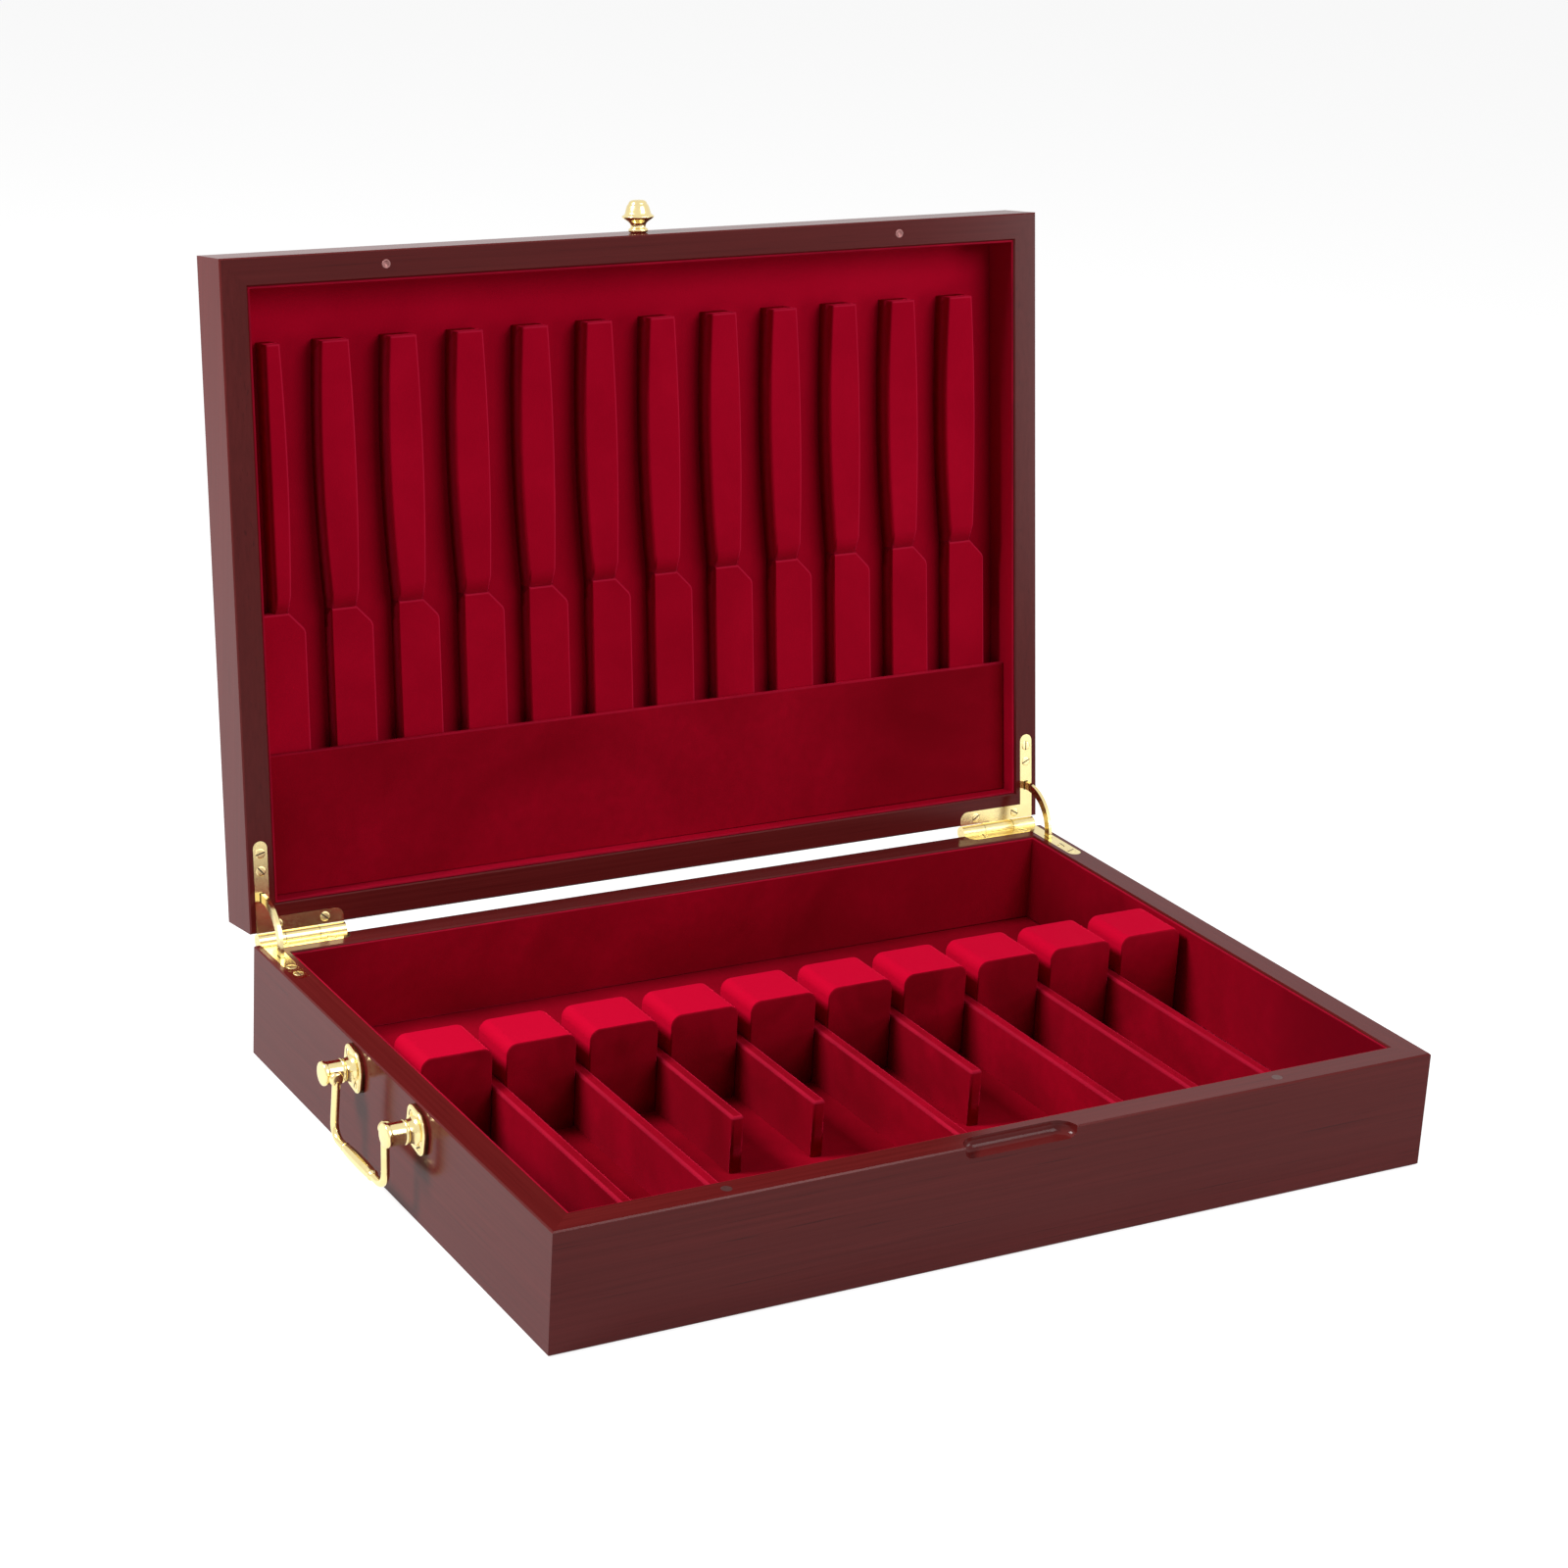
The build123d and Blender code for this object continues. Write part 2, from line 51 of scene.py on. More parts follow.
# ---- boards of the base and the lid ----
# Solid mahogany, mitred at the corners and bottomed with a panel in a rabbet. Stained dark
# red-brown, with fine open grain along each board and a clear lacquer rubbed to a satin gloss.
GRAIN_LENGTH = 9
GRAIN_ACROSS = 760
FIGURE_LENGTH = 2.4
FIGURE_ACROSS = 38
STAIN_DARK = (0.096, 0.0074, 0.0072, 1)
STAIN_LIGHT = (0.150, 0.0150, 0.0144, 1)
PORE_STAIN = (0.068, 0.0056, 0.0056, 1)


def put(tree, kind, inputs=None, **settings):
    """Adds a node, sets its properties, and links or fills its inputs."""
    node = tree.nodes.new(kind)
    for key, value in settings.items():
        setattr(node, key, value)
    for key, value in (inputs or {}).items():
        if isinstance(value, bpy.types.NodeSocket):
            tree.links.new(value, node.inputs[key])
        else:
            node.inputs[key].default_value = value
    return node


def new_group(name, inputs, outputs):
    """Starts a shader node group with named sockets and returns it with its two ends."""
    group = bpy.data.node_groups.new(name, "ShaderNodeTree")
    for label, kind, value in inputs:
        socket = group.interface.new_socket(label, in_out="INPUT", socket_type=kind)
        socket.default_value = value
    for label, kind in outputs:
        group.interface.new_socket(label, in_out="OUTPUT", socket_type=kind)
    return group, group.nodes.new("NodeGroupInput"), group.nodes.new("NodeGroupOutput")


def blend_colors(tree, factor, first, second):
    """One colour laid over another by a factor."""
    mix = put(tree, "ShaderNodeMix", {0: factor, 6: first, 7: second}, data_type="RGBA")
    return mix.outputs[2]


def spread(tree, value, low, high, new_low=0.0, new_high=1.0):
    """Stretches a value from one range to another, held at its ends."""
    inputs = {"Value": value, "From Min": low, "From Max": high, "To Min": new_low, "To Max": new_high}
    return put(tree, "ShaderNodeMapRange", inputs).outputs["Result"]


def start_material(name):
    """A new material with its shader and its Object coordinates."""
    material = bpy.data.materials.new(name)
    material.use_nodes = True
    tree = material.node_tree
    shader = tree.nodes["Principled BSDF"]
    place = put(tree, "ShaderNodeTexCoord").outputs["Object"]
    return material, tree, shader, place


def make_wood_grain():
    """Grain along X: broad figure, fine streaks and short dark pores."""
    ends = (("Color", "NodeSocketColor"), ("Roughness", "NodeSocketFloat"), ("Height", "NodeSocketFloat"))
    group, start, end = new_group("wood_grain", [("Vector", "NodeSocketVector", (0, 0, 0))], ends)
    place = start.outputs["Vector"]
    stretch = {"Vector": place, "Scale": (GRAIN_LENGTH, GRAIN_ACROSS, GRAIN_ACROSS)}
    fine = put(group, "ShaderNodeMapping", stretch).outputs["Vector"]
    streaks = put(group, "ShaderNodeTexNoise", {"Vector": fine, "Scale": 1, "Detail": 5, "Roughness": 0.62})
    stretch = {"Vector": place, "Scale": (FIGURE_LENGTH, FIGURE_ACROSS, FIGURE_ACROSS)}
    broad = put(group, "ShaderNodeMapping", stretch).outputs["Vector"]
    figure = put(group, "ShaderNodeTexNoise", {"Vector": broad, "Scale": 1, "Detail": 3, "Distortion": 0.7})
    streak = spread(group, streaks.outputs["Fac"], 0.2, 0.8)
    stained = blend_colors(group, streak, STAIN_DARK, STAIN_LIGHT)
    shade = spread(group, figure.outputs["Fac"], 0.3, 0.72, 0.0, 0.6)
    figured = blend_colors(group, shade, stained, STAIN_DARK)
    pores = put(group, "ShaderNodeTexNoise", {"Vector": fine, "Scale": 2.1, "Detail": 2})
    pore = spread(group, pores.outputs["Fac"], 0.64, 0.78)
    group.links.new(blend_colors(group, pore, figured, PORE_STAIN), end.inputs["Color"])
    group.links.new(spread(group, streaks.outputs["Fac"], 0.3, 0.7, 0.42, 0.3), end.inputs["Roughness"])
    group.links.new(spread(group, pore, 0, 1, 1, 0), end.inputs["Height"])
    return group


wood_grain = make_wood_grain()


def lacquered_mahogany(name, turn, shift):
    """Mahogany whose grain runs along X once turned, from its own place in the tree."""
    material, tree, shader, place = start_material(name)
    move = {"Vector": place, "Location": (shift, 0.37 * shift, 0.11 * shift), "Rotation": turn}
    along = put(tree, "ShaderNodeMapping", move).outputs["Vector"]
    grain = put(tree, "ShaderNodeGroup", node_tree=wood_grain)
    tree.links.new(along, grain.inputs["Vector"])
    tree.links.new(grain.outputs["Color"], shader.inputs["Base Color"])
    tree.links.new(grain.outputs["Roughness"], shader.inputs["Roughness"])
    bump = {"Height": grain.outputs["Height"], "Strength": 0.12, "Distance": 0.00003}
    tree.links.new(put(tree, "ShaderNodeBump", bump).outputs["Normal"], shader.inputs["Normal"])
    shader.inputs["Specular IOR Level"].default_value = 0
    shader.inputs["Coat Weight"].default_value = 0.65
    shader.inputs["Coat Roughness"].default_value = 0.16
    shader.inputs["Coat IOR"].default_value = 1.31
    return material


def assign(node, material):
    """Gives a frame node its finish."""
    nodes[node].data.materials.clear()
    nodes[node].data.materials.append(material)


along_x = (0, 0, 0)
along_y = (0, 0, radians(-90))
up_the_lid = (0, radians(90), 0)
board_shift = 0.83
boards = {
    "base_front": along_x, "base_back": along_x, "base_left": along_y, "base_right": along_y,
    "lid_front": along_x, "lid_back": along_x, "lid_left": up_the_lid, "lid_right": up_the_lid,
    "lid_top_panel": along_x, "base_bottom_panel": along_x,
}
for number, (board, turn) in enumerate(boards.items()):
    assign(board, lacquered_mahogany(f"mahogany_{board}", turn, board_shift * number))


# ---- velvet in the base ----
# Card and thin foam wrapped in cotton velvet and pressed into the box. The pile is short,
# deep red, brushed into soft patches, and catches light where it curves away: a real sheen,
# with a paler painted sheen highlight on the rounded rims.
PILE_DEEP = (0.205, 0.0001, 0.0062, 1)
PILE_LIT = (0.370, 0.0002, 0.0140, 1)
# Painted light: the paler red that lit tops and sides are mixed towards.
PILE_PAINTED_LIGHT = (0.560, 0.0004, 0.0250, 1)
# Painted sheen highlight: a paler pink laid on the rounded rims of the velvet.
PILE_PAINTED_SHEEN = (0.640, 0.0200, 0.0700, 1)
SHEEN_TINT = (1.0, 0.015, 0.075, 1)
PILE_FIBRE = 2600
lining = 0.0015
wall_round = 0.0006
floor_round = 0.001
facing = 0.9
same_place = 0.00001


def make_velvet_pile():
    """Soft brushed patches, a finer mottling, and the fibre of a short pile."""
    starts = [("Vector", "NodeSocketVector", (0, 0, 0)), ("Patch Scale", "NodeSocketFloat", 11)]
    ends = (("Color", "NodeSocketColor"), ("Roughness", "NodeSocketFloat"), ("Height", "NodeSocketFloat"))
    group, start, end = new_group("velvet_pile", starts, ends)
    place = start.outputs["Vector"]
    patch_inputs = {"Vector": place, "Scale": start.outputs["Patch Scale"], "Detail": 3, "Distortion": 0.9}
    patches = put(group, "ShaderNodeTexNoise", patch_inputs)
    mottle = put(group, "ShaderNodeTexNoise", {"Vector": place, "Scale": 210, "Detail": 3})
    fibre = put(group, "ShaderNodeTexNoise", {"Vector": place, "Scale": PILE_FIBRE, "Detail": 2})
    brushed = spread(group, patches.outputs["Fac"], 0.32, 0.68)
    base = blend_colors(group, brushed, PILE_DEEP, PILE_LIT)
    speckle = spread(group, mottle.outputs["Fac"], 0.3, 0.7, 0.0, 0.28)
    mottled = blend_colors(group, speckle, base, PILE_DEEP)
    group.links.new(mottled, end.inputs["Color"])
    group.links.new(spread(group, patches.outputs["Fac"], 0.3, 0.7, 0.95, 0.8), end.inputs["Roughness"])
    group.links.new(fibre.outputs["Fac"], end.inputs["Height"])
    return group


velvet_pile = make_velvet_pile()


def red_velvet(name, patch_scale=11, painted_sheen=0.0, crown=None):
    """Red velvet with a tinted sheen, painted light paling it between two heights, and a painted sheen
    highlight.
    """
    material, tree, shader, place = start_material(name)
    pile = put(tree, "ShaderNodeGroup", node_tree=velvet_pile)
    tree.links.new(place, pile.inputs["Vector"])
    pile.inputs["Patch Scale"].default_value = patch_scale
    color = pile.outputs["Color"]
    # Painted light: the pile pales towards a lighter red up through the given heights.
    if crown:
        height = put(tree, "ShaderNodeSeparateXYZ", {0: place}).outputs["Z"]
        color = blend_colors(tree, spread(tree, height, *crown), color, PILE_PAINTED_LIGHT)
    # Painted sheen highlight: the paler pink laid over the pile by the given amount.
    if painted_sheen:
        color = blend_colors(tree, painted_sheen, color, PILE_PAINTED_SHEEN)
    tree.links.new(color, shader.inputs["Base Color"])
    tree.links.new(pile.outputs["Roughness"], shader.inputs["Roughness"])
    bump = {"Height": pile.outputs["Height"], "Strength": 0.5, "Distance": 0.0002}
    tree.links.new(put(tree, "ShaderNodeBump", bump).outputs["Normal"], shader.inputs["Normal"])
    shader.inputs["Specular IOR Level"].default_value = 0.05
    shader.inputs["Sheen Weight"].default_value = 0.75
    shader.inputs["Sheen Roughness"].default_value = 0.3
    shader.inputs["Sheen Tint"].default_value = SHEEN_TINT
    return material


velvet = red_velvet("red_velvet")
# Velvet for rounded rims, with a painted sheen highlight.
edge_velvet = red_velvet("edge_velvet", 30, 0.22)


def finish_piece(shape, name, materials, body, slot, *replaced):
    """Turns a bmesh into a piece that rides on a body and stands for its frame nodes."""
    bmesh.ops.recalc_face_normals(shape, faces=shape.faces)
    for face in shape.faces:
        face.smooth = True
    mesh = bpy.data.meshes.new(name)
    shape.to_mesh(mesh)
    shape.free()
    for material in materials:
        mesh.materials.append(material)
    piece = bpy.data.objects.new(name, mesh)
    bpy.context.scene.collection.objects.link(piece)
    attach(piece, body)
    if replaced:
        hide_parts(*replaced)
    return piece


def even_normals(piece):
    """Keeps wide faces flat beside narrow rounded edges."""
    piece.modifiers.new("even_normals", "WEIGHTED_NORMAL").keep_sharp = False


def box_between(low, high):
    """A bmesh box between two corners."""
    shape = bmesh.new()
    bmesh.ops.create_cube(shape, size=1)
    low, high = Vector(low), Vector(high)
    bmesh.ops.scale(shape, vec=high - low, verts=shape.verts)
    bmesh.ops.translate(shape, vec=(low + high) / 2, verts=shape.verts)
    return shape


def round_edges(shape, edges, radius, segments=3, painted_sheen=False):
    """Rounds the given edges of a bmesh, and gives the round a painted sheen highlight where asked."""
    faces = bmesh.ops.bevel(
        shape, geom=list(edges), offset=radius, segments=segments, profile=0.5,
        affect="EDGES", material=-1, clamp_overlap=True,
    )["faces"]
    if painted_sheen:
        for face in faces:
            face.material_index = 1


def lowest(edge, axis):
    """The lower end of an edge along x, y or z."""
    return min(getattr(vert.co, axis) for vert in edge.verts)


def highest(edge, axis):
    """The higher end of an edge along x, y or z."""
    return max(getattr(vert.co, axis) for vert in edge.verts)


def span(edge, axis):
    """How far an edge reaches along x, y or z."""
    return highest(edge, axis) - lowest(edge, axis)


def is_level_rim(edge):
    """True for a level edge where the side of a wall meets its rim or its foot."""
    first, second = (face.normal for face in edge.link_faces)
    return abs(first.dot(second)) < 1 - facing and span(edge, "z") < same_place


def lining_ring(outer_low, outer_high, thickness, radius):
    """Four walls of lining in one bmesh, with rounded rims."""
    shape = box_between(outer_low, outer_high)
    ends = [face for face in shape.faces if abs(face.normal.z) > facing]
    bmesh.ops.inset_individual(shape, faces=ends, thickness=thickness)
    loops = [edge for face in ends for edge in face.edges]
    bmesh.ops.delete(shape, geom=ends, context="FACES_ONLY")
    bmesh.ops.bridge_loops(shape, edges=loops)
    rims = [edge for edge in shape.edges if is_level_rim(edge)]
    # The rims get the painted sheen highlight.
    round_edges(shape, rims, radius, painted_sheen=True)
    return shape


low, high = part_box("base_wall_lining")
base_lining = finish_piece(
    lining_ring(low, high, lining, wall_round), "base_lining", [velvet, edge_velvet], "base", "velvet",
    "base_wall_lining",
)
even_normals(base_lining)

low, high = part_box("base_floor_lining")
floor_shape = box_between(low, high)
upper_edges = [edge for edge in floor_shape.edges if lowest(edge, "z") > high.z - same_place]
round_edges(floor_shape, upper_edges, floor_round)
base_floor = finish_piece(floor_shape, "base_floor", [velvet], "base", "velvet", "base_floor_lining")
even_normals(base_floor)


# ---- felt under the base ----
# Thin brown wool felt, cut a little smaller than the base and glued to the bottom panel, so
# that the chest doesn't mark a sideboard.
FELT_DARK = (0.020, 0.0085, 0.0055, 1)
FELT_LIGHT = (0.052, 0.024, 0.016, 1)
felt_round = 0.0003

felt, felt_tree, felt_shader, felt_place = start_material("brown_felt")
felt_wool = put(felt_tree, "ShaderNodeTexNoise", {"Vector": felt_place, "Scale": 900, "Detail": 6})
felt_color = blend_colors(felt_tree, felt_wool.outputs["Fac"], FELT_DARK, FELT_LIGHT)
felt_tree.links.new(felt_color, felt_shader.inputs["Base Color"])
felt_bump = {"Height": felt_wool.outputs["Fac"], "Strength": 0.6, "Distance": 0.0003}
felt_nap = put(felt_tree, "ShaderNodeBump", felt_bump).outputs["Normal"]
felt_tree.links.new(felt_nap, felt_shader.inputs["Normal"])
felt_shader.inputs["Roughness"].default_value = 0.95
felt_shader.inputs["Specular IOR Level"].default_value = 0.05

felt_shape = box_between(*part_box("base_felt"))
round_edges(felt_shape, felt_shape.edges, felt_round, 1)
base_felt = finish_piece(felt_shape, "felt_underside", [felt], "base", "felt", "base_felt")
even_normals(base_felt)


# ---- padded blocks ----
# Ten foam-padded blocks that the handles of the silver lie between. Velvet is wrapped over the
# top and sides, so those edges are full, and a flat piece closes each end with a crisp edge. The
# top, the shoulders and the left side carry painted light that pales them towards the top, and
# the back end carries a paler painted sheen highlight.
block_shoulder = 0.0046
block_end_round = 0.0009
# Painted light: the heights over which the block velvet pales towards the top.
block_crown = (0.0290, 0.0425)
# Plain velvet; the back end with painted sheen and painted light; the top, shoulders and left side with
# painted light.
block_velvet = [
    red_velvet("block_velvet", 26), red_velvet("block_edge", 30, 0.45, block_crown),
    red_velvet("block_crown", 26, crown=block_crown),
]


def gets_painted_light(normal):
    """True for a face on the top, the shoulders or the left side of a block, which get painted light."""
    return abs(normal.y) < 0.5 and (normal.z > 0.1 or normal.x < -0.5)


def padded_block(low, high, number):
    """A block with full upper edges and crisp ends."""
    shape = box_between(low, high)
    uppers = [edge for edge in shape.edges
              if lowest(edge, "z") > high.z - same_place and span(edge, "x") < same_place]
    round_edges(shape, uppers, block_shoulder, 6)
    ends = [face for face in shape.faces if abs(face.normal.y) > facing]
    outline = {edge for face in ends for edge in face.edges if highest(edge, "z") > low.z + same_place}
    round_edges(shape, outline, block_end_round, 3)
    shape.normal_update()
    back_edge = high.y - block_end_round * 0.6
    # Painted sheen highlight on the back end, painted light on the top, shoulders and left side.
    for face in shape.faces:
        if face.calc_center_median().y > back_edge and face.normal.y < facing:
            face.material_index = 1
        elif gets_painted_light(face.normal):
            face.material_index = 2
    name = f"block_{number:02d}"
    piece = finish_piece(shape, f"padded_{name}", block_velvet, "base", "velvet", name)
    even_normals(piece)


for number in range(1, 11):
    padded_block(*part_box(f"block_{number:02d}"), number)


# ---- dividers ----
# Thin boards wrapped in velvet that part the places in front of the blocks. Three of them are
# short, and leave room for the bowls of large spoons.
divider_top_round = 0.0025
divider_end_round = 0.0012
# The divider tops get a painted sheen highlight.
divider_velvet = [red_velvet("divider_velvet", 18), red_velvet("divider_edge", 30, 0.3)]


def divider(low, high, number):
    """A velvet-covered board with a full top edge and rounded ends."""
    shape = box_between(low, high)
    ends = [edge for edge in shape.edges
            if span(edge, "z") > same_place and highest(edge, "y") < low.y + same_place]
    round_edges(shape, ends, divider_end_round, 3)
    tops = [edge for edge in shape.edges if lowest(edge, "z") > high.z - same_place]
    round_edges(shape, tops, divider_top_round, 4, painted_sheen=True)
    name = f"divider_board_{number}"
    piece = finish_piece(shape, name, divider_velvet, "base", "velvet", f"divider_{number}")
    even_normals(piece)


for number in range(1, 10):
    divider(*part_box(f"divider_{number}"), number)


# ---- velvet in the lid ----
# The same lined card as in the base, cut to the lid: a flat panel and a ring of low walls.
# The lid stands open, so these pieces are made in the lid's own frame and turned with it.
hinge_offset = 0.0033
half_gap = 0.00015
rim_wall = 0.012
chest_width = 0.4
chest_depth = 0.285
lid_floor = 0.0195
lining_drop = 0.0006
panel_clearance = 0.0002
panel_round = 0.0003
# Painted light: the lid's velvet pales by height, lighter overall and lighter towards the lid's top edge.
lid_painted_light = (-0.3, 0.8)
lid_velvet = red_velvet("lid_velvet", crown=lid_painted_light)
hinge = next(joint for joint in frame["joints"] if joint["name"] == "lid_hinge")
open_angle = radians(hinge["range_deg"][1])
lid_origin = Vector(hinge["pos_m"])
lid_y = Vector((0, cos(open_angle), -sin(open_angle)))
lid_z = Vector((0, sin(open_angle), cos(open_angle)))
lid_origin += lid_y * (-hinge_offset - chest_depth / 2) + lid_z * half_gap


def frame_of(origin, x_axis, y_axis, z_axis):
    """The matrix that takes a piece made at the origin to its place."""
    return Matrix.Translation(origin) @ Matrix((x_axis, y_axis, z_axis)).transposed().to_4x4()


lid_frame = frame_of(lid_origin, Vector((1, 0, 0)), lid_y, lid_z)
inner_half = Vector((chest_width / 2 - rim_wall, chest_depth / 2 - rim_wall))

lid_walls = lining_ring(
    (-inner_half.x, -inner_half.y, lining_drop), (inner_half.x, inner_half.y, lid_floor), lining, wall_round
)
lid_walls.transform(lid_frame)
lid_lining = finish_piece(
    lid_walls, "lid_lining", [lid_velvet, edge_velvet], "lid", "velvet", "lid_wall_lining"
)
even_normals(lid_lining)

panel_half = inner_half - Vector((panel_clearance, panel_clearance))
panel_shape = box_between(
    (-panel_half.x, -panel_half.y, lid_floor), (panel_half.x, panel_half.y, lid_floor + lining)
)
round_edges(panel_shape, panel_shape.edges, panel_round, 2)
panel_shape.transform(lid_frame)
lid_panel = finish_piece(panel_shape, "lid_panel", [lid_velvet], "lid", "velvet", "lid_panel_lining")
even_normals(lid_panel)


# ---- knife rack ----
# Twelve velvet-covered ridges in the outline of a table knife, glued to the lid's panel. The
# handle part stands higher than the blade part, and a band across the blades makes the pocket.
knife_count = 12
lined_width = chest_width - 2 * (rim_wall + lining)
knife_pitch = lined_width / knife_count
blade_half = 0.00955
blade_axis = 0.01255
blade_height = 0.009
handle_height = 0.0115
ridge_foot = rim_wall + lining
end_reach = 0.248
bulge_reach = 0.190
step_reach = 0.134
shoulder_reach = 0.1262
shoulder_soften = 0.0016
step_left, step_right = 0.0094, 0.0021
bulge_left, bulge_right = 0.012, 0.0036
end_left, end_right = 0.0102, 0.0022
first_left = 0.0042
side_points = 14
step_slope = 0.0075
step_sink = 0.0003
ridge_round = 0.0009
soft_round = 0.0027
rim_angle = radians(60)
# Painted light on the ridges by height, as on the lid's velvet; painted sheen highlight on their crisper
# rims.
ridge_velvet = [
    red_velvet("ridge_velvet", 16, crown=lid_painted_light), red_velvet("ridge_edge", 30, 0.38, lid_painted_light),
]

rack_frame = frame_of(
    lid_origin - Vector((lined_width / 2, 0, 0)) + lid_y * (chest_depth / 2) + lid_z * lid_floor,
    Vector((1, 0, 0)), -lid_y, -lid_z,
)


def through(first, middle, last):
    """Points on the smooth curve through three (across, reach) points."""
    points = []
    for step in range(side_points + 1):
        reach = first[1] + (last[1] - first[1]) * step / side_points
        total = 0
        for a, b, c in ((first, middle, last), (middle, first, last), (last, first, middle)):
            total += a[0] * (reach - b[1]) * (reach - c[1]) / ((a[1] - b[1]) * (a[1] - c[1]))
        points.append((total, reach))
    return points


def raise_outline(shape, outline, height):
    """A closed plate of the given outline, standing on the lid's panel."""
    foot = shape.faces.new([shape.verts.new((x, y, 0)) for x, y in outline])
    raised = bmesh.ops.extrude_face_region(shape, geom=[foot], use_keep_orig=True)["geom"]
    top = [item for item in raised if isinstance(item, bmesh.types.BMVert)]
    bmesh.ops.translate(shape, vec=(0, 0, height), verts=top)


def is_rim(edge):
    """True for an edge where a ridge's side meets its upper face."""
    raised = lowest(edge, "z") > blade_height - 2 * step_sink
    return raised and len(edge.link_faces) == 2 and edge.calc_face_angle() > rim_angle


def round_rims(shape, axis, start=0.0):
    """A full, soft edge on a ridge's left side and a crisper one with a painted sheen highlight on the
    others.
    """
    left = axis - blade_half * 0.3
    shape.normal_update()
    crisp = [edge for edge in shape.edges
             if is_rim(edge) and highest(edge, "x") >= left and highest(edge, "y") > start]
    round_edges(shape, crisp, ridge_round, 3, painted_sheen=True)
    shape.normal_update()
    full = [edge for edge in shape.edges if is_rim(edge) and highest(edge, "x") < left]
    round_edges(shape, full, soft_round, 5)


def blade_plate(axis):
    """The lower, wider part of a ridge, beside a blade."""
    shape = bmesh.new()
    left, right = axis - blade_half, axis + blade_half
    outline = [
        (left, ridge_foot), (right, ridge_foot), (right, shoulder_reach),
        (axis + step_right, step_reach), (axis - step_left, step_reach), (left, shoulder_reach),
    ]
    raise_outline(shape, outline, blade_height)
    shoulders = [edge for edge in shape.edges if span(edge, "z") > same_place
                 and abs(lowest(edge, "y") - shoulder_reach) < same_place]
    round_edges(shape, shoulders, shoulder_soften, 3)
    round_rims(shape, axis)
    return shape


def handle_plate(axis, left_widths):
    """The higher part of a ridge, beside a handle, which slopes down to the blade's part."""
    shape = bmesh.new()
    reaches = (step_reach, bulge_reach, end_reach)
    right_widths = (step_right, bulge_right, end_right)
    right_side = through(*((axis + width, reach) for width, reach in zip(right_widths, reaches)))
    left_side = through(*((axis - width, reach) for width, reach in zip(left_widths, reaches)))
    raise_outline(shape, right_side + left_side[::-1], handle_height)
    rise = handle_height - blade_height + step_sink
    cut = bmesh.ops.bisect_plane(
        shape, geom=list(shape.verts) + list(shape.edges) + list(shape.faces), clear_outer=True,
        plane_co=(0, step_reach, blade_height - step_sink), plane_no=(0, -rise, step_slope),
    )["geom_cut"]
    open_edges = [item for item in cut if isinstance(item, bmesh.types.BMEdge) and item.is_boundary]
    bmesh.ops.holes_fill(shape, edges=open_edges, sides=0)
    round_rims(shape, axis, step_reach + same_place)
    return shape


def pour(target, shape, matrix=None):
    """Adds one bmesh to another, moved to its place."""
    if matrix is not None:
        shape.transform(matrix)
    carried = bpy.data.meshes.new("carried")
    shape.to_mesh(carried)
    shape.free()
    target.from_mesh(carried)
    bpy.data.meshes.remove(carried)


ridges = bmesh.new()
for number in range(knife_count):
    axis = blade_axis + number * knife_pitch
    left_widths = (step_left, bulge_left, end_left) if number else (first_left, first_left, first_left)
    pour(ridges, blade_plate(axis))
    pour(ridges, handle_plate(axis, left_widths))
ridges.transform(rack_frame)
ridge_piece = finish_piece(ridges, "knife_rack", ridge_velvet, "lid", "velvet", "knife_ridges")
even_normals(ridge_piece)

pocket_reach = 0.0745
pocket_thickness = 0.0025
pocket_round = 0.0009
pocket_shape = box_between(
    (0, ridge_foot, blade_height), (lined_width, pocket_reach, blade_height + pocket_thickness),
)
mouth = [edge for edge in pocket_shape.edges
         if lowest(edge, "y") > pocket_reach - same_place and span(edge, "z") < same_place]
# The pocket's mouth gets the painted sheen highlight.
round_edges(pocket_shape, mouth, pocket_round, 3, painted_sheen=True)
pocket_shape.transform(rack_frame)
pocket_velvet = [red_velvet("pocket_velvet", 9), edge_velvet]
pocket = finish_piece(pocket_shape, "pocket_band", pocket_velvet, "lid", "velvet", "knife_pocket")
even_normals(pocket)


# ---- stop hinges ----
# Polished brass: cast leaves let into the rims with their knuckles round a pin, and a bent
# stay through both leaves. Countersunk brass screws hold the leaves, their slots turned anyhow.
BRASS = (0.880, 0.730, 0.360, 1)
BRASS_DULL = (0.700, 0.530, 0.220, 1)
# Painted shade: the near-black colours of the screw slots, which are not cut into the heads.
SLOT_SHADE_DARK = (0.020, 0.010, 0.004, 1)
SLOT_SHADE_LIGHT = (0.090, 0.050, 0.016, 1)
screw_radius = 0.0022
screw_crown = 0.00012
slot_width = 0.0006
side_arm = 0.194
side_screws = (0.1155, 0.1079)
back_screws = (0.1874, 0.1658)
back_arm = 0.1393
slot_turn = 1.1
base_first_turn = 0.4
lid_first_turn = 2.3
base_rim = 0.051


def polished_brass(name, roughness=0.17):
    """Brass with faint clouding and fine polishing marks."""
    material, tree, shader, place = start_material(name)
    cloud = put(tree, "ShaderNodeTexNoise", {"Vector": place, "Scale": 120, "Detail": 2})
    shade = spread(tree, cloud.outputs["Fac"], 0.45, 0.8, 0, 0.35)
    tree.links.new(blend_colors(tree, shade, BRASS, BRASS_DULL), shader.inputs["Base Color"])
    marks = put(tree, "ShaderNodeTexNoise", {"Vector": place, "Scale": 1400, "Detail": 3})
    rough = spread(tree, marks.outputs["Fac"], 0.3, 0.7, roughness * 0.8, roughness * 1.25)
    tree.links.new(rough, shader.inputs["Roughness"])
    shader.inputs["Metallic"].default_value = 1
    return material


